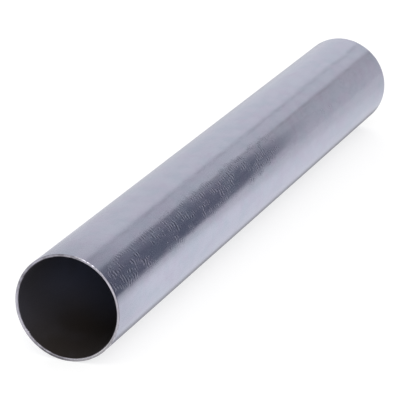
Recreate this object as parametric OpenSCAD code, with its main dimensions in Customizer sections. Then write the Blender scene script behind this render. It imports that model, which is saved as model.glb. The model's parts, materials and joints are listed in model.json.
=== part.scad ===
// One length of thin-wall galvanised steel conduit pipe, lying on its side.
// Millimetres. The pipe's axis runs along Y, and Z is up.
// The origin is the middle of the line on which the pipe rests.

/* [Pipe] */
// Outer diameter
outer_d = 50.8; // [20:0.1:120]
// Wall thickness
wall = 1.4; // [1:0.1:3]
// Length from one end face to the other
pipe_length = 380; // [100:5:3000]

/* [End edges] */
// Leg of the 45 degree break on the outer edge of each end
outer_break = 0.2; // [0.05:0.05:0.4]
// Leg of the 45 degree ream on the bore's edge of each end
inner_ream = 0.4; // [0.05:0.05:0.5]

/* [Hidden] */

outer_r = outer_d / 2;
inner_r = outer_r - wall;
facets_round = 180;

// Section through one side of the wall: distance from the axis, then distance along it.
module wall_section() {
    polygon([
        [inner_r + inner_ream, 0],
        [outer_r - outer_break, 0],
        [outer_r, outer_break],
        [outer_r, pipe_length - outer_break],
        [outer_r - outer_break, pipe_length],
        [inner_r + inner_ream, pipe_length],
        [inner_r, pipe_length - inner_ream],
        [inner_r, inner_ream],
    ]);
}

// The whole pipe: the wall's section turned about the axis, then laid down along Y.
module conduit_pipe() {
    color("silver")
        translate([0, -pipe_length / 2, outer_r])
            rotate([-90, 0, 0])
                rotate_extrude($fn = facets_round)
                    wall_section();
}

conduit_pipe();
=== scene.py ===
"""One length of thin-wall galvanised steel conduit pipe, lying on a pale studio floor.

Everything is in metres, in the CAD model's frame: the pipe's axis runs along Y and the floor is z = 0.
Angles around the pipe are counted from +X towards +Z.
"""

import json
import math

import bpy
import numpy as np
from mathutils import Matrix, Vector, noise

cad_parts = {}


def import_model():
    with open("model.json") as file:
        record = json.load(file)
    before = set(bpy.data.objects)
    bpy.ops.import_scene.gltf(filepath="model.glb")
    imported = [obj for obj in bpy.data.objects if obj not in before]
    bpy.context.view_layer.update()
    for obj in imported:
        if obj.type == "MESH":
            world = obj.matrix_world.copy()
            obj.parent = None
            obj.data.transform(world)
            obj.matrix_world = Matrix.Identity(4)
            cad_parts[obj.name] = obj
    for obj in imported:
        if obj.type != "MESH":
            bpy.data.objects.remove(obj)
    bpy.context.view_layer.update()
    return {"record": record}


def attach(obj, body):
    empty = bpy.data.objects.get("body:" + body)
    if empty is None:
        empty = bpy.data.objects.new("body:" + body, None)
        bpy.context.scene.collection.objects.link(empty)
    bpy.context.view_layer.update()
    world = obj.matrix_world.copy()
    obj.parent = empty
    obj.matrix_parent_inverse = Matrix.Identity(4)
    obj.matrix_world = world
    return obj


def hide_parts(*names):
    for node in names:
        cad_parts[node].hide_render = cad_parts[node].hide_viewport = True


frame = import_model()

MM = 0.001


# ------------------------------------------------------------------ sizes from the CAD model

def mount(name):
    """The record's mount of this name."""
    return next(m for m in frame["record"]["mounts"] if m["name"] == name)


def radius_of(name):
    return mount(name)["dims"]["r_mm"] * MM


def length_of(name):
    return mount(name)["dims"]["length_mm"] * MM


OUTER_R = radius_of("outer_wall")
INNER_R = radius_of("bore")
AXIS_Z = mount("bore")["pos_m"][2]
HALF_LENGTH = mount("far_end_face")["pos_m"][1]
EDGE_BREAK = HALF_LENGTH - length_of("outer_wall") / 2
REAM = HALF_LENGTH - length_of("bore") / 2
CENTRE = Vector((0, 0, AXIS_Z))


# ------------------------------------------------------------------ the pipe's mesh

# The mesh has this many columns of faces round the pipe. The first starts underneath, which hides the
# cut of the UV map there.
COLUMNS = 540
FIRST_COLUMN = math.radians(-90)
# How many rings of points each stretch of the wall's section has.
WALL_RINGS = 45
BORE_RINGS = 21
BREAK_STEPS = 5
REAM_STEPS = 4
# Where the rings of the cut face lie, from its outer to its inner edge.
FACE_STEPS = (0.06, 0.35, 0.65, 0.94)
# Distances from an end at which extra rings keep the long walls' shading straight.
WALL_HOLDS = (0.7 * MM, 1.2 * MM, 2.5 * MM, 6 * MM)
BORE_HOLDS = (1.0 * MM, 1.6 * MM, 3.5 * MM, 8 * MM)

# Rolling leaves the wall out of true by a few hundredths of a millimetre. The wall is set in by more
# than that, because the CAD model's flat faces make its box a little smaller than the round pipe.
ROLL_RIPPLE, ROLL_LENGTH = 0.012 * MM, 90 * MM
SLOW_RIPPLE, SLOW_LENGTH = 0.03 * MM, 55 * MM
WALL_R = OUTER_R - 0.055 * MM
# How far the broken edge and the ream wander, as a share of their own size: slowly, and finely.
BREAK_WANDER, BREAK_FINE = 0.45, 0.25
REAM_WANDER, REAM_FINE = 0.35, 0.15
# How far the ream bulges from a straight line, as a share of its size.
REAM_BULGE = 0.08

# Where the outer corner is broken by a flat bevel, not rounded: its middle and half width in degrees.
# The bevel is wider than the rest by this share.
BEVELLED = (62, 22)
BEVEL_WIDER = 1.0

# Burrs on the near end's inner edge: angle and half width in degrees, height in millimetres.
BURRS = ((-146.5, 1.1, 0.30), (-143.4, 1.2, 0.60), (-140.8, 1.1, 0.30), (-111.0, 0.9, 0.25))

angles = FIRST_COLUMN + np.arange(COLUMNS) * (2 * math.pi / COLUMNS)


def around(bumps, seed, along=0.0):
    """Smooth noise from -1 to 1 for each column, with about `bumps` bumps to a radian."""
    return np.array([
        noise.noise(Vector((math.cos(a) * bumps + seed, math.sin(a) * bumps, along + seed)))
        for a in angles
    ])


def wall_radius(y):
    """The outer wall's radius for each column at a distance y along the axis."""
    rolled = around(7, 11.3, along=y / ROLL_LENGTH)
    slow = around(1.6, 4.7, along=y / SLOW_LENGTH)
    return WALL_R + ROLL_RIPPLE * rolled + SLOW_RIPPLE * slow


def peak(angle, half_width):
    """For each column, 1 at this angle and falling to 0 at half_width degrees to either side."""
    off = (angles - math.radians(angle) + math.pi) % (2 * math.pi) - math.pi
    return np.maximum(0, 1 - np.abs(off) / math.radians(half_width))


def burr_height():
    """How far the burrs stand in from the bore's edge, for each column."""
    return np.max([tall * MM * peak(angle, half_width) for angle, half_width, tall in BURRS], axis=0)


def lip(end):
    """Rings from the outer wall over one end face to the bore; end is -1 (near) or 1 (far)."""
    flat = np.sqrt(peak(*BEVELLED))
    wander = BREAK_WANDER * around(11, 3.1 * end) + BREAK_FINE * around(40, 8.2 * end) * (1 - flat)
    edge = EDGE_BREAK * (1 + wander) * (1 + BEVEL_WIDER * flat)
    ream = REAM * (1 + REAM_WANDER * around(5, 6.4 * end) + REAM_FINE * around(30, 1.9 * end))
    burr = burr_height() if end < 0 else 0
    outside = wall_radius(end * HALF_LENGTH)
    no_depth = np.zeros(COLUMNS)
    rings = []
    for share in np.linspace(0, 1, BREAK_STEPS):
        turn = share * math.pi / 2
        inward = flat * share + (1 - flat) * (1 - math.cos(turn))
        deep = flat * (1 - share) + (1 - flat) * (1 - math.sin(turn))
        rings.append((outside - edge * inward, edge * deep))
    face = outside - edge - INNER_R - ream
    for share in FACE_STEPS:
        rings.append((outside - edge - face * share, no_depth))
    for share in np.linspace(0, 1, REAM_STEPS):
        bulge = REAM_BULGE * math.sin(math.pi * share)
        r = INNER_R + ream * (1 - share - bulge) - burr * share ** 2
        rings.append((r, ream * (share - bulge)))
    return [(r, end * (HALF_LENGTH - depth)) for r, depth in rings]


def long_wall(count, holds, radius):
    """Rings of a long wall from near end to far end, with `holds` as the extra rings at its ends."""
    reach = HALF_LENGTH - holds[-1]
    ends = [HALF_LENGTH - hold for hold in holds[:-1]]
    ys = [-y for y in ends] + list(np.linspace(-reach, reach, count)) + ends[::-1]
    return [(radius(y), np.full(COLUMNS, y)) for y in ys]


def section():
    """Every ring in order round the wall's section, and the name of the strip of faces after each."""
    near, far = lip(-1)[::-1], lip(1)
    wall = long_wall(WALL_RINGS, WALL_HOLDS, wall_radius)
    bore = long_wall(BORE_RINGS, BORE_HOLDS, lambda y: np.full(COLUMNS, INNER_R))[::-1]
    half = (len(wall) + 1) // 2
    strips = ["near_lip"] * (len(near) - 1) + ["near_wall"] * half + ["far_wall"] * half
    strips += ["far_lip"] * (len(far) - 1) + ["bore"] * (len(bore) + 1)
    return near + wall + far + bore, strips


# Where each strip lies on the UV map: from, to. Lips run along U with the angle, walls with the length.
UV_ROWS = {
    "near_wall": (0.003, 0.362), "far_wall": (0.368, 0.727), "bore": (0.733, 0.922),
    "near_lip": (0.928, 0.959), "far_lip": (0.965, 0.996),
}
# The gap that every strip leaves at both ends of U.
UV_EDGE = 0.004
MATERIAL_OF = {"near_wall": 0, "far_wall": 0, "near_lip": 1, "far_lip": 1, "bore": 2}


def uv_corners(rings, strips):
    """The UV corners of every face, ring by ring and column by column."""
    middle = np.array([(r.mean(), np.mean(y)) for r, y in rings + rings[:1]])
    run = np.concatenate([[0], np.cumsum(np.hypot(*np.diff(middle, axis=0).T))])
    turn = np.arange(COLUMNS + 1) / COLUMNS
    corners = np.zeros((len(rings), COLUMNS, 4, 2))
    for i, strip in enumerate(strips):
        own = [k for k, name in enumerate(strips) if name == strip]
        low, high = run[own[0]], run[own[-1] + 1]
        here, after = (run[i] - low) / (high - low), (run[i + 1] - low) / (high - low)
        along = np.array([here, after, after, here])[None, :].repeat(COLUMNS, 0)
        angle = np.stack([turn[:-1], turn[:-1], turn[1:], turn[1:]], axis=1)
        u, v = (angle, along) if "lip" in strip else (along, angle)
        floor, ceiling = UV_ROWS[strip]
        corners[i, :, :, 0] = UV_EDGE + u * (1 - 2 * UV_EDGE)
        corners[i, :, :, 1] = floor + v * (ceiling - floor)
    return corners.reshape(-1, 2)


def build_pipe():
    """The whole pipe as one closed shell, with its UV map and its three materials."""
    rings, strips = section()
    radius = np.array([r for r, _ in rings])
    y = np.array([np.broadcast_to(y, COLUMNS) for _, y in rings])
    points = np.stack([radius * np.cos(angles), y, AXIS_Z + radius * np.sin(angles)], axis=-1)
    index = np.arange(len(rings) * COLUMNS).reshape(len(rings), COLUMNS)
    up, on = np.roll(index, -1, axis=0), np.roll(index, -1, axis=1)
    faces = np.stack([index, up, np.roll(up, -1, axis=1), on], axis=-1).reshape(-1, 4)

    mesh = bpy.data.meshes.new("conduit_pipe_shell")
    mesh.from_pydata(points.reshape(-1, 3).tolist(), [], faces.tolist())
    uv = mesh.uv_layers.new(name="OFBake")
    uv.data.foreach_set("uv", uv_corners(rings, strips).ravel())
    for material in (zinc_coat(), cut_steel(), bore_coating()):
        mesh.materials.append(material)
    slots = np.repeat([MATERIAL_OF[strip] for strip in strips], COLUMNS)
    mesh.polygons.foreach_set("material_index", slots)
    mesh.polygons.foreach_set("use_smooth", np.ones(len(faces), bool))
    mesh.update()
    pipe = bpy.data.objects.new("conduit_pipe_shell", mesh)
    bpy.context.scene.collection.objects.link(pipe)
    return pipe


# ------------------------------------------------------------------ node helpers

def add(tree, kind, inputs=None, **settings):
    """Adds a node. An input is given by name or number, and takes a value or another node's output."""
    node = tree.nodes.new(kind)
    for name, value in settings.items():
        setattr(node, name, value)
    for name, value in (inputs or {}).items():
        if isinstance(value, bpy.types.NodeSocket):
            tree.links.new(value, node.inputs[name])
        else:
            node.inputs[name].default_value = value
    return node


def new_material(name):
    """A new material with an empty tree. Returns it with its tree and its object coordinates."""
    material = bpy.data.materials.new(name)
    material.use_nodes = True
    material.node_tree.nodes.clear()
    place = add(material.node_tree, "ShaderNodeTexCoord").outputs["Object"]
    return material, material.node_tree, place


def finish_material(tree, colour, roughness, normal, metallic):
    shader = add(tree, "ShaderNodeBsdfPrincipled", {
        "Base Color": colour, "Roughness": roughness, "Normal": normal, "Metallic": metallic,
    })
    add(tree, "ShaderNodeOutputMaterial", {"Surface": shader.outputs["BSDF"]})
    return shader


def fleck(tree, place, size, detail=2.0, rough=0.5, shift=0.0):
    """Noise from 0 to 1 whose flecks are about `size` millimetres long in X, Y and Z."""
    scale = tuple(1 / (s * MM) for s in size)
    at = add(tree, "ShaderNodeMapping", {"Vector": place, "Scale": scale, "Location": (shift,) * 3})
    return add(tree, "ShaderNodeTexNoise", {
        "Vector": at.outputs["Vector"], "Scale": 1.0, "Detail": detail, "Roughness": rough,
    }).outputs["Fac"]


def remap(tree, value, low, high, to_low=0.0, to_high=1.0, smooth=True):
    return add(tree, "ShaderNodeMapRange", {
        "Value": value, "From Min": low, "From Max": high, "To Min": to_low, "To Max": to_high,
    }, interpolation_type="SMOOTHSTEP" if smooth else "LINEAR").outputs["Result"]


def maths(tree, operation, a, b=0.0):
    return add(tree, "ShaderNodeMath", {0: a, 1: b}, operation=operation).outputs[0]


def blend(tree, share, a, b):
    """Colour a where share is 0, colour b where it is 1."""
    return add(tree, "ShaderNodeMix", {0: share, 6: a, 7: b}, data_type="RGBA").outputs[2]


def bump(tree, height, depth, normal=None):
    """A normal for a surface whose height runs over `depth` millimetres as `height` goes from 0 to 1."""
    inputs = {"Height": height, "Distance": depth * MM, "Strength": 1.0}
    if normal:
        inputs["Normal"] = normal
    return add(tree, "ShaderNodeBump", inputs).outputs["Normal"]


# ------------------------------------------------------------------ materials

def side_at(angle):
    """The direction straight out from the axis at this angle in degrees."""
    return (math.cos(math.radians(angle)), 0, math.sin(math.radians(angle)))


def spoke_of(tree, place):
    """The vector from the pipe's axis straight out to the point."""
    out = add(tree, "ShaderNodeVectorMath", {0: place, 1: tuple(CENTRE)}, operation="SUBTRACT").outputs[0]
    return add(tree, "ShaderNodeVectorMath", {0: out, 1: (1, 0, 1)}, operation="MULTIPLY").outputs[0]


def dot(tree, vector, direction):
    product = add(tree, "ShaderNodeVectorMath", {0: vector, 1: direction}, operation="DOT_PRODUCT")
    return product.outputs["Value"]


def facing_out(tree, spoke, angle, half_width):
    """1 on the side of the pipe at this angle, fading to 0 at half_width degrees to either side."""
    unit = add(tree, "ShaderNodeVectorMath", {0: spoke}, operation="NORMALIZE").outputs[0]
    towards = dot(tree, unit, side_at(angle))
    return remap(tree, towards, math.cos(math.radians(half_width)), 1)


def highest(tree, values):
    """The highest of several values or outputs."""
    top = values[0]
    for value in values[1:]:
        top = maths(tree, "MAXIMUM", top, value)
    return top


def sides_of(tree, spoke, patches):
    """The highest of several facing_out patches, given by their angle, half width and share."""
    return highest(tree, [
        maths(tree, "MULTIPLY", facing_out(tree, spoke, angle, half_width), share)
        for angle, half_width, share in patches
    ])


ZINC_VIOLET = (0.490, 0.474, 0.585, 1)
ZINC_STEEL = (0.458, 0.489, 0.584, 1)
ZINC_LIGHT = (0.520, 0.528, 0.628, 1)
ZINC_SHADE = (0.29, 0.295, 0.36, 1)
# Metals dip in brightness before they whiten at grazing angles; this is the shader's tint for that.
GRAZING_TINT = (0.86, 0.87, 0.91, 1)
ZINC_ROUGH = (0.16, 0.23)
# The depth of the zinc's streaks, dents and grain, in millimetres.
STREAK_DEPTH, DENT_DEPTH, GRAIN_DEPTH = 0.011, 0.024, 0.0008

# Marks that the forming rolls leave across the pipe: their pitch and depth in millimetres, their
# colour, and the sides that they are on by angle, half width and share.
CHATTER_PITCH = 2.35
CHATTER_DEPTH = 0.025
CHATTER_SHADE = (0.25, 0.255, 0.315, 1)
CHATTER_SIDES = ((36.5, 23, 1), (190, 32, 0.35), (-80, 30, 0.35))
# How far the marks stray from an even pitch, in radians of their wave.
CHATTER_STRAY = 9
# They fade between these two places along Y, and this much of them is left beyond.
CHATTER_FADE, CHATTER_LEFT = (-0.005, 0.030), 0.15
# The wall is this much rougher around them and in their troughs.
CHATTER_ROUGH, TROUGH_ROUGH = 0.055, 0.38

# Soft lines along the pipe, from the weld and the rolls: angle, half width and wander in millimetres.
LONG_LINES = ((66.5, 1.9, 0.8), (50, 1.2, 0.5), (-150, 1.5, 0.6))
# A line is painted within this many degrees of its angle, so that it has no twin across the pipe.
LINE_SIDE = 60

# The wall's colour is darker beside the near end's cut, between these distances from the end, in metres.
NEAR_END_DARK_FULL, NEAR_END_DARK_NONE, NEAR_END_DARK_SHARE = 0.004, 0.034, 0.30


def chatter(tree, place, spoke):
    """Marks across the pipe, in rows along a few of its sides.

    Gives a wave from -1 to 1, where the rows are, and the patches that hold them.
    """
    along = add(tree, "ShaderNodeSeparateXYZ", {0: place}).outputs["Y"]
    turns = maths(tree, "MULTIPLY", along, 2 * math.pi / (CHATTER_PITCH * MM))
    stray = maths(tree, "MULTIPLY", fleck(tree, place, (3.5, 9, 3.5), detail=1, shift=4), CHATTER_STRAY)
    wave = maths(tree, "SINE", maths(tree, "ADD", turns, stray))
    rows = remap(tree, fleck(tree, place, (1.7, 5, 1.7), detail=1, shift=2), 0.47, 0.56)
    patches = remap(tree, fleck(tree, place, (6, 16, 6), detail=1, shift=9), 0.40, 0.54)
    sides = sides_of(tree, spoke, CHATTER_SIDES)
    sides = maths(tree, "MULTIPLY", sides, remap(tree, along, *CHATTER_FADE, 1, CHATTER_LEFT))
    patches = maths(tree, "MULTIPLY", patches, sides)
    return wave, maths(tree, "MULTIPLY", rows, patches), patches


def long_line(tree, place, spoke, angle, half_width, wander):
    """1 on a thin wandering line along the pipe at this angle, 0 beside it."""
    drift = fleck(tree, place, (1000, 20, 1000), detail=3, rough=0.7, shift=angle)
    drift = remap(tree, drift, 0.3, 0.7, -wander * MM, wander * MM, smooth=False)
    beside = maths(tree, "ADD", dot(tree, spoke, side_at(angle + 90)), drift)
    line = remap(tree, maths(tree, "ABSOLUTE", beside), 0, half_width * MM, 1, 0)
    return maths(tree, "MULTIPLY", line, facing_out(tree, spoke, angle, LINE_SIDE))


def zinc_coat():
    """Satin galvanised wall: cool grey clouds, long roll streaks and short marks across the pipe."""
    material, tree, place = new_material("zinc_coat")
    spoke = spoke_of(tree, place)
    clouds = fleck(tree, place, (9, 15, 9), detail=4, rough=0.6)
    tint = blend(tree, remap(tree, clouds, 0.38, 0.62), ZINC_VIOLET, ZINC_STEEL)
    streaks = fleck(tree, place, (2.2, 60, 2.2), detail=3, rough=0.6, shift=5)
    tint = blend(tree, remap(tree, streaks, 0.45, 0.75, 0, 0.4), tint, ZINC_LIGHT)
    spangle = fleck(tree, place, (7, 11, 7), detail=3, rough=0.6, shift=13)
    tint = blend(tree, remap(tree, spangle, 0.36, 0.64, 0, 0.6), tint, ZINC_LIGHT)
    part = add(tree, "ShaderNodeSeparateXYZ", {0: place})
    inward = maths(tree, "ADD", part.outputs["Y"], HALF_LENGTH)
    # Darker beside the near end's cut.
    tint = blend(tree, remap(tree, inward, NEAR_END_DARK_FULL, NEAR_END_DARK_NONE, NEAR_END_DARK_SHARE, 0), tint, ZINC_SHADE)
    lines = highest(tree, [long_line(tree, place, spoke, *line) for line in LONG_LINES])
    worn = remap(tree, fleck(tree, place, (3, 16, 3), detail=3, rough=0.7, shift=7), 0.35, 0.65, 0.05, 0.3)
    wave, there, patches = chatter(tree, place, spoke)
    crests = maths(tree, "MULTIPLY", remap(tree, wave, -0.3, 1), there)
    troughs = maths(tree, "MULTIPLY", remap(tree, wave, 0.3, -1), there)
    tint = blend(tree, maths(tree, "MULTIPLY", lines, worn), tint, ZINC_SHADE)
    tint = blend(tree, crests, tint, CHATTER_SHADE)

    grain = fleck(tree, place, (0.7, 1.4, 0.7), detail=1)
    normal = bump(tree, streaks, STREAK_DEPTH)
    normal = bump(tree, fleck(tree, place, (6, 12, 6), shift=11), DENT_DEPTH, normal)
    normal = bump(tree, grain, GRAIN_DEPTH, normal)
    normal = bump(tree, maths(tree, "MULTIPLY", wave, there), CHATTER_DEPTH, normal)
    roughness = remap(tree, streaks, 0.3, 0.7, *ZINC_ROUGH)
    roughness = maths(tree, "ADD", roughness, maths(tree, "MULTIPLY", patches, CHATTER_ROUGH))
    roughness = maths(tree, "ADD", roughness, maths(tree, "MULTIPLY", troughs, TROUGH_ROUGH))
    shader = finish_material(tree, tint, roughness, normal, metallic=1.0)
    shader.inputs["Specular Tint"].default_value = GRAZING_TINT
    return material


STEEL_LIGHT = (0.60, 0.575, 0.645, 1)
STEEL_MID = (0.44, 0.42, 0.475, 1)
STEEL_PAINTED_SHADE = (0.20, 0.19, 0.215, 1)
STEEL_PAINTED_HIGHLIGHT = (0.76, 0.74, 0.78, 1)
# The zinc that the saw has dragged over the cut: its colour, its angle and half width, and its share.
STEEL_ZINCED = (0.50, 0.50, 0.60, 1)
ZINCED_SIDE, ZINCED_SHARE = (120, 110), 0.6
# Where the cut faces are painted darker as painted shade, and where their outer corner is lighter with
# painted glints: angle, half width, share.
PAINTED_SHADE_PATCHES = (
    (-165, 40, 0.4), (-118, 34, 1), (-22, 20, 0.3), (4, 24, 0.4), (58, 26, 0.5), (98, 50, 1), (150, 30, 1),
)
BRIGHT_CORNERS = ((64, 24, 1), (-55, 60, 1), (-125, 45, 0.6))
# Where they are painted lighter as a painted highlight: angle and half width.
PAINTED_HIGHLIGHT_PATCH = (-58, 38)
# The rest of the outer corner is painted shade: how much duller and rougher it is.
DARK_SHARE, DARK_ROUGH = 0.7, 0.3
# How much of the painted highlight's colour the glints in the corner take: the glints are the lamp's
# reflection made brighter by painted highlight.
GLINT_SHARE = 0.6
REAMED_ROUGH, SAWN_ROUGH = 0.45, 0.16
SAW_DEPTH = 0.012


def cut_steel():
    """Bare steel of the sawn and reamed ends: saw lines, patches of painted shade and painted highlight,
    and an outer corner painted dark as painted shade, with painted glints where the lamp glints in it.
    """
    material, tree, place = new_material("cut_steel")
    spoke = spoke_of(tree, place)
    lines = fleck(tree, place, (0.25, 0.5, 2.5), detail=3, rough=0.6)
    colour = blend(tree, remap(tree, lines, 0.35, 0.65), STEEL_MID, STEEL_LIGHT)
    zinced = maths(tree, "MULTIPLY", facing_out(tree, spoke, *ZINCED_SIDE), ZINCED_SHARE)
    colour = blend(tree, zinced, colour, STEEL_ZINCED)
    # Painted highlight: one side of the cut faces is painted lighter.
    colour = blend(tree, facing_out(tree, spoke, *PAINTED_HIGHLIGHT_PATCH), colour, STEEL_PAINTED_HIGHLIGHT)
    # Painted shade: darker patches round the cut faces, broken up by noise.
    patches = sides_of(tree, spoke, PAINTED_SHADE_PATCHES)
    shade_breakup = remap(tree, fleck(tree, place, (3, 3, 3), detail=3, shift=3), 0.35, 0.65, 0.5, 0.95)
    dull = maths(tree, "MULTIPLY", patches, shade_breakup)

    radius = add(tree, "ShaderNodeVectorMath", {0: spoke}, operation="LENGTH").outputs["Value"]
    # Painted shade: the outer corner is painted dark, except where it glints.
    corner = remap(tree, radius, WALL_R - 1.5 * EDGE_BREAK, WALL_R - 0.5 * EDGE_BREAK)
    dashes = remap(tree, fleck(tree, place, (1.2, 20, 1.2), detail=0, shift=6), 0.40, 0.56)
    bright = maths(tree, "MULTIPLY", sides_of(tree, spoke, BRIGHT_CORNERS), dashes)
    glint = maths(tree, "MULTIPLY", corner, bright)
    dark = maths(tree, "SUBTRACT", corner, glint)
    dull = maths(tree, "MAXIMUM", dull, maths(tree, "MULTIPLY", dark, DARK_SHARE))
    colour = blend(tree, dull, colour, STEEL_PAINTED_SHADE)
    # Painted highlight: the glints are painted lighter on top of the lamp's real glint.
    colour = blend(tree, maths(tree, "MULTIPLY", glint, GLINT_SHARE), colour, STEEL_PAINTED_HIGHLIGHT)

    normal = bump(tree, lines, SAW_DEPTH)
    reamed = (INNER_R + 0.6 * REAM, INNER_R + 1.2 * REAM)
    roughness = remap(tree, radius, *reamed, REAMED_ROUGH, SAWN_ROUGH)
    roughness = maths(tree, "ADD", roughness, remap(tree, lines, 0.3, 0.7, -0.04, 0.08))
    roughness = maths(tree, "ADD", roughness, maths(tree, "MULTIPLY", dark, DARK_ROUGH))
    finish_material(tree, colour, roughness, normal, metallic=1.0)
    return material


LACQUER_MOUTH = (0.043, 0.041, 0.051, 1)
BORE_DEEP_PAINTED_LIGHT = (0.066, 0.075, 0.125, 1)
BORE_LOW_BROWN_AND_SHADE = (0.0240, 0.0190, 0.0168, 1)
LACQUER_THIN = (0.044, 0.041, 0.048, 1)
LACQUER_ROUGH, LACQUER_GRAIN = (0.5, 0.62), 0.02
# How far in from an end the lacquer is painted lighter and bluer, as painted light for the light that
# falls off deeper in the bore, in metres.
MOUTH_DEPTH, DEEP_DEPTH = 0.010, 0.090
# Between these depths the brown and painted shade low down give way to it as well, down to this share.
BROWN_DEPTHS, BROWN_LEFT = (0.035, 0.080), 0.25


def bore_coating():
    """Dull, nearly black lacquer inside the pipe, painted lighter and bluer further in as painted light,
    and browner and darker low down, the darkening being painted shade.
    """
    material, tree, place = new_material("bore_coating")
    part = add(tree, "ShaderNodeSeparateXYZ", {0: place})
    inward = maths(tree, "SUBTRACT", HALF_LENGTH, maths(tree, "ABSOLUTE", part.outputs["Y"]))
    # Painted light: the lacquer turns lighter and bluer deeper in, where less light reaches the bore.
    colour = blend(tree, remap(tree, inward, MOUTH_DEPTH, DEEP_DEPTH), LACQUER_MOUTH, BORE_DEEP_PAINTED_LIGHT)
    # Browner and darker low down near the mouth: the brown is a tint, the darkening is painted shade.
    low = remap(tree, part.outputs["Z"], AXIS_Z - INNER_R, AXIS_Z - 0.1 * INNER_R, 1, 0)
    low = maths(tree, "MULTIPLY", low, remap(tree, inward, *BROWN_DEPTHS, 1, BROWN_LEFT))
    colour = blend(tree, low, colour, BORE_LOW_BROWN_AND_SHADE)
    clouds = fleck(tree, place, (12, 20, 12), detail=3)
    colour = blend(tree, remap(tree, clouds, 0.45, 0.7, 0, 0.35), colour, LACQUER_THIN)
    grain = fleck(tree, place, (0.5, 0.5, 0.5), detail=3)
    normal = bump(tree, grain, LACQUER_GRAIN)
    roughness = remap(tree, grain, 0.3, 0.7, *LACQUER_ROUGH)
    finish_material(tree, colour, roughness, normal, metallic=0.0)
    return material


pipe = build_pipe()
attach(pipe, "root")
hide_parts("conduit_pipe")


# ------------------------------------------------------------------ stage

FLOOR_HALF = 20.0
# How the floor is lit up for the camera and for the metal: its own colour, and the glow that is added.
FLOOR_SEEN, FLOOR_SEEN_GLOW = 0.34, 0.70
FLOOR_MIRRORED, FLOOR_MIRRORED_GLOW = 0.25, 0.78
# In the metal the floor shows a painted pool of light along the pipe, brightest by the near end.
POOL_CENTRE = (0, -0.15, 0)
POOL_STRETCH = (1, 0.33, 0)
POOL_INNER, POOL_OUTER, POOL_DIM = 0.08, 0.18, 0.76
# Right under the pipe a painted shadow darkens it: these are distances to either side of where the pipe
# rests. The painted shadow ends within this distance past the pipe's ends.
CONTACT_INNER, CONTACT_OUTER, CONTACT_DIM = 0.0175, 0.0225, 0.45
CONTACT_FADE = 0.05

# The booth beyond the far end: a wall on the right and a ceiling, which meet in a corner.
BOOTH_WALL_X = 0.344
BOOTH_TOP = 0.66
BOOTH_NEAR, BOOTH_FAR = 0.25, 2.3
CEILING_LEFT = -0.063
WALL_LOW, WALL_HIGH, WALL_RAMP = (0.69, 0.68, 0.695), (0.57, 0.56, 0.57), (0, 0.9)
CEILING_NEAR, CEILING_FAR, CEILING_RAMP = (0.52, 0.525, 0.56), (0.85, 0.85, 0.85), (0.10, 0.72)

# The slate card close to the pipe's right side: where it stands, and its outline along Y and up.
SLATE_X = 0.11
SLATE_OUTLINE = (
    (-0.25, 0.020), (-0.02, 0.025), (0.05, 0.032), (0.13, 0.036), (0.205, 0.053), (0.240, 0.095),
    (0.256, 0.14), (0.260, 0.18), (0.24, 0.208), (0.18, 0.224), (0.05, 0.230), (-0.25, 0.230),
)
SLATE_LOW, SLATE_HIGH, SLATE_RAMP = (0.155, 0.167, 0.212), (0.24, 0.25, 0.295), (0.34, 0.58)

# A darker card to the left, in front of the pipe, that gives its back a band of its own.
LEFT_CARD_X = -0.45
LEFT_CARD_Y = (-1.3, 0.05)
LEFT_CARD_Z = (0.20, 0.66)
LEFT_CARD_NEAR, LEFT_CARD_FAR, LEFT_CARD_RAMP = (0.20, 0.21, 0.26), (0.34, 0.35, 0.40), (0, 1)

# A pale scrim that stands left of the booth, level with its far end, and fades with the distance from
# the pipe's axis: how far it reaches, how bright it is, and where it starts and ends to fade.
SCRIM_X = (-2.8, CEILING_LEFT)
SCRIM_Z = (0, 2.4)
SCRIM_BRIGHT, SCRIM_DIM = 0.955, 0.82
SCRIM_INNER, SCRIM_OUTER = 0.75, 1.85

# How bright the dome is where it lights dull surfaces.
DOME_LIGHT = 0.83


def card(name, corners, material):
    """A flat piece of the stage with these corners."""
    mesh = bpy.data.meshes.new(name)
    mesh.from_pydata(corners, [], [range(len(corners))])
    mesh.materials.append(material)
    thing = bpy.data.objects.new(name, mesh)
    bpy.context.scene.collection.objects.link(thing)
    return thing


def mirrored_floor(tree, place):
    """How bright the floor looks in the metal, from 0 to 1: a painted pool of light with a painted shadow
    under the pipe.
    """
    away = add(tree, "ShaderNodeVectorMath", {0: place, 1: POOL_CENTRE}, operation="SUBTRACT").outputs[0]
    away = add(tree, "ShaderNodeVectorMath", {0: away, 1: POOL_STRETCH}, operation="MULTIPLY").outputs[0]
    away = add(tree, "ShaderNodeVectorMath", {0: away}, operation="LENGTH").outputs["Value"]
    pool = remap(tree, away, POOL_INNER, POOL_OUTER, 1, POOL_DIM)
    part = add(tree, "ShaderNodeSeparateXYZ", {0: place})
    aside = maths(tree, "ABSOLUTE", part.outputs["X"])
    along = maths(tree, "ABSOLUTE", part.outputs["Y"])
    # Painted shadow under the pipe.
    contact = remap(tree, aside, CONTACT_INNER, CONTACT_OUTER, CONTACT_DIM, 1)
    past_end = remap(tree, along, HALF_LENGTH, HALF_LENGTH + CONTACT_FADE)
    return maths(tree, "MULTIPLY", pool, maths(tree, "MAXIMUM", contact, past_end))


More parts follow.
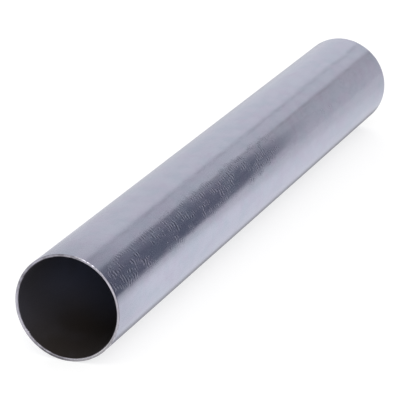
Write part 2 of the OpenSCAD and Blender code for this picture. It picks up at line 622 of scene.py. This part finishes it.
def floor_material():
    """White to the camera where nothing shades it. In reflections it follows mirrored_floor."""
    material, tree, place = new_material("studio_floor")
    path = add(tree, "ShaderNodeLightPath")
    seen = path.outputs["Is Camera Ray"]
    mirrored = maths(tree, "MAXIMUM", path.outputs["Is Glossy Ray"], path.outputs["Is Transmission Ray"])
    pool = mirrored_floor(tree, place)
    dull = maths(tree, "MULTIPLY", pool, FLOOR_MIRRORED)
    grey = add(tree, "ShaderNodeMix", {0: seen, 2: dull, 3: FLOOR_SEEN}).outputs[0]
    plain = add(tree, "ShaderNodeBsdfDiffuse", {"Color": grey})
    glow = maths(tree, "MULTIPLY", maths(tree, "MULTIPLY", pool, mirrored), FLOOR_MIRRORED_GLOW)
    glow = maths(tree, "ADD", glow, maths(tree, "MULTIPLY", seen, FLOOR_SEEN_GLOW))
    light = add(tree, "ShaderNodeEmission", {"Strength": glow})
    both = add(tree, "ShaderNodeAddShader", {0: plain.outputs[0], 1: light.outputs[0]})
    add(tree, "ShaderNodeOutputMaterial", {"Surface": both.outputs[0]})
    return material


def flag_material(name, axis, start, end, ramp):
    """A glow that turns from one colour to another along an axis, over this ramp of the card's span."""
    material, tree, _ = new_material(name)
    place_on_card = add(tree, "ShaderNodeTexCoord").outputs["Generated"]
    share = add(tree, "ShaderNodeSeparateXYZ", {0: place_on_card}).outputs[axis]
    colour = blend(tree, remap(tree, share, *ramp), start + (1,), end + (1,))
    glow = add(tree, "ShaderNodeEmission", {"Color": colour, "Strength": 1.0})
    add(tree, "ShaderNodeOutputMaterial", {"Surface": glow.outputs[0]})
    return material


def scrim_material():
    """A glow that fades with the distance from the pipe's axis."""
    material, tree, place = new_material("far_scrim")
    from_axis = {0: place, 1: (0, BOOTH_FAR, AXIS_Z)}
    away = add(tree, "ShaderNodeVectorMath", from_axis, operation="DISTANCE").outputs["Value"]
    glow = remap(tree, away, SCRIM_INNER, SCRIM_OUTER, SCRIM_BRIGHT, SCRIM_DIM)
    light = add(tree, "ShaderNodeEmission", {"Strength": glow})
    add(tree, "ShaderNodeOutputMaterial", {"Surface": light.outputs[0]})
    return material


def flag(name, corners, material):
    """Adds a card out of shot that shows only in reflections."""
    thing = card(name, corners, material)
    thing.visible_camera = False
    thing.visible_diffuse = False
    thing.visible_transmission = False
    thing.visible_shadow = False


def upright(x, ys, zs):
    """The corners of an upright card that stands along Y at this x."""
    return [(x, ys[0], zs[0]), (x, ys[1], zs[0]), (x, ys[1], zs[1]), (x, ys[0], zs[1])]


def across(y, xs, zs):
    """The corners of an upright card that stands along X at this y."""
    return [(xs[0], y, zs[0]), (xs[1], y, zs[0]), (xs[1], y, zs[1]), (xs[0], y, zs[1])]


def level(z, xs, ys):
    """The corners of a level card at this height."""
    return [(xs[0], ys[0], z), (xs[1], ys[0], z), (xs[1], ys[1], z), (xs[0], ys[1], z)]


def stage():
    """The floor, and the cards out of shot that the metal mirrors."""
    floor_span = (-FLOOR_HALF, FLOOR_HALF)
    card("studio_floor", level(0, floor_span, floor_span), floor_material())
    booth_span = (BOOTH_NEAR, BOOTH_FAR)
    wall = upright(BOOTH_WALL_X, booth_span, (0, BOOTH_TOP))
    flag("side_wall", wall, flag_material("side_wall", "Z", WALL_LOW, WALL_HIGH, WALL_RAMP))
    ceiling = level(BOOTH_TOP, (CEILING_LEFT, BOOTH_WALL_X), booth_span)
    flag("ceiling", ceiling, flag_material("ceiling", "Y", CEILING_NEAR, CEILING_FAR, CEILING_RAMP))
    slate = [(SLATE_X, y, z) for y, z in SLATE_OUTLINE]
    flag("slate_card", slate, flag_material("slate_card", "Z", SLATE_LOW, SLATE_HIGH, SLATE_RAMP))
    left = upright(LEFT_CARD_X, LEFT_CARD_Y, LEFT_CARD_Z)
    shade = flag_material("left_card", "Y", LEFT_CARD_NEAR, LEFT_CARD_FAR, LEFT_CARD_RAMP)
    flag("left_card", left, shade)
    flag("far_scrim", across(BOOTH_FAR, SCRIM_X, SCRIM_Z), scrim_material())


def world():
    """An even pale dome that is plain white to the camera and in reflections."""
    scene_world = bpy.data.worlds.new("studio")
    scene_world.use_nodes = True
    tree = scene_world.node_tree
    tree.nodes.clear()
    path = add(tree, "ShaderNodeLightPath")
    seen = [path.outputs[ray] for ray in ("Is Camera Ray", "Is Glossy Ray", "Is Transmission Ray")]
    strength = highest(tree, [DOME_LIGHT] + seen)
    sky = add(tree, "ShaderNodeBackground", {"Color": (1, 1, 1, 1), "Strength": strength})
    add(tree, "ShaderNodeOutputWorld", {"Surface": sky.outputs[0]})
    bpy.context.scene.world = scene_world


def lamp(name, direction, distance, long, wide, radiance):
    """A rectangular lamp facing the pipe's middle from a direction, with its long side level."""
    data = bpy.data.lights.new(name, "AREA")
    data.shape = "RECTANGLE"
    data.size = wide
    data.size_y = long
    data.energy = radiance * math.pi * long * wide
    thing = bpy.data.objects.new(name, data)
    thing.location = CENTRE + direction.normalized() * distance
    thing.rotation_euler = direction.to_track_quat("Z", "X").to_euler()
    bpy.context.scene.collection.objects.link(thing)
    return thing


stage()
world()

# A long strip above the near end shows in the metal. A fill in front and one behind light the dull
# surfaces, such as the bore's lacquer, and aren't mirrored. The metal gets a paler shine in front instead.
KEY_SIDE = Vector((0.215, -0.455, 0.865))
FILL_SIDE = Vector((0.33, -0.87, 0.27))
BACK_SIDE = Vector((-0.45, 0.80, 0.30))
FILL_SIZE = {"long": 0.8, "wide": 0.8}
lamp("key_strip", KEY_SIDE, distance=3.0, long=2.3, wide=0.4, radiance=3.8)
front_fill = lamp("soft_fill", FILL_SIDE, distance=1.6, radiance=6.5, **FILL_SIZE)
front_shine = lamp("fill_shine", FILL_SIDE, distance=1.7, radiance=1.2, **FILL_SIZE)
back_fill = lamp("back_fill", BACK_SIDE, distance=1.6, radiance=3.5, **FILL_SIZE)
front_fill.visible_glossy = False
front_shine.visible_diffuse = False
back_fill.visible_glossy = False


# ------------------------------------------------------------------ camera

CAMERA_AZIMUTH = math.radians(21.68)
CAMERA_ELEVATION = math.radians(19.17)
CAMERA_DISTANCE = 1.313
CAMERA_LENS, CAMERA_SENSOR = 232.7, 36
# The pipe's centre lies this far to the right of the picture's middle, and above it.
CAMERA_RIGHT, CAMERA_UP = 0.0112, 0.0100


def camera():
    """A long lens that looks along the pipe from the right and above, as in the photo."""
    back = Vector((
        math.sin(CAMERA_AZIMUTH) * math.cos(CAMERA_ELEVATION),
        -math.cos(CAMERA_AZIMUTH) * math.cos(CAMERA_ELEVATION),
        math.sin(CAMERA_ELEVATION),
    ))
    right = Vector((math.cos(CAMERA_AZIMUTH), math.sin(CAMERA_AZIMUTH), 0))
    up = back.cross(right)
    data = bpy.data.cameras.new("camera")
    data.lens = CAMERA_LENS
    data.sensor_width = CAMERA_SENSOR
    thing = bpy.data.objects.new("camera", data)
    thing.location = CENTRE + back * CAMERA_DISTANCE - right * CAMERA_RIGHT - up * CAMERA_UP
    thing.rotation_euler = back.to_track_quat("Z", "Y").to_euler()
    bpy.context.scene.collection.objects.link(thing)
    bpy.context.scene.camera = thing


camera()
bpy.context.scene.view_settings.view_transform = "Standard"
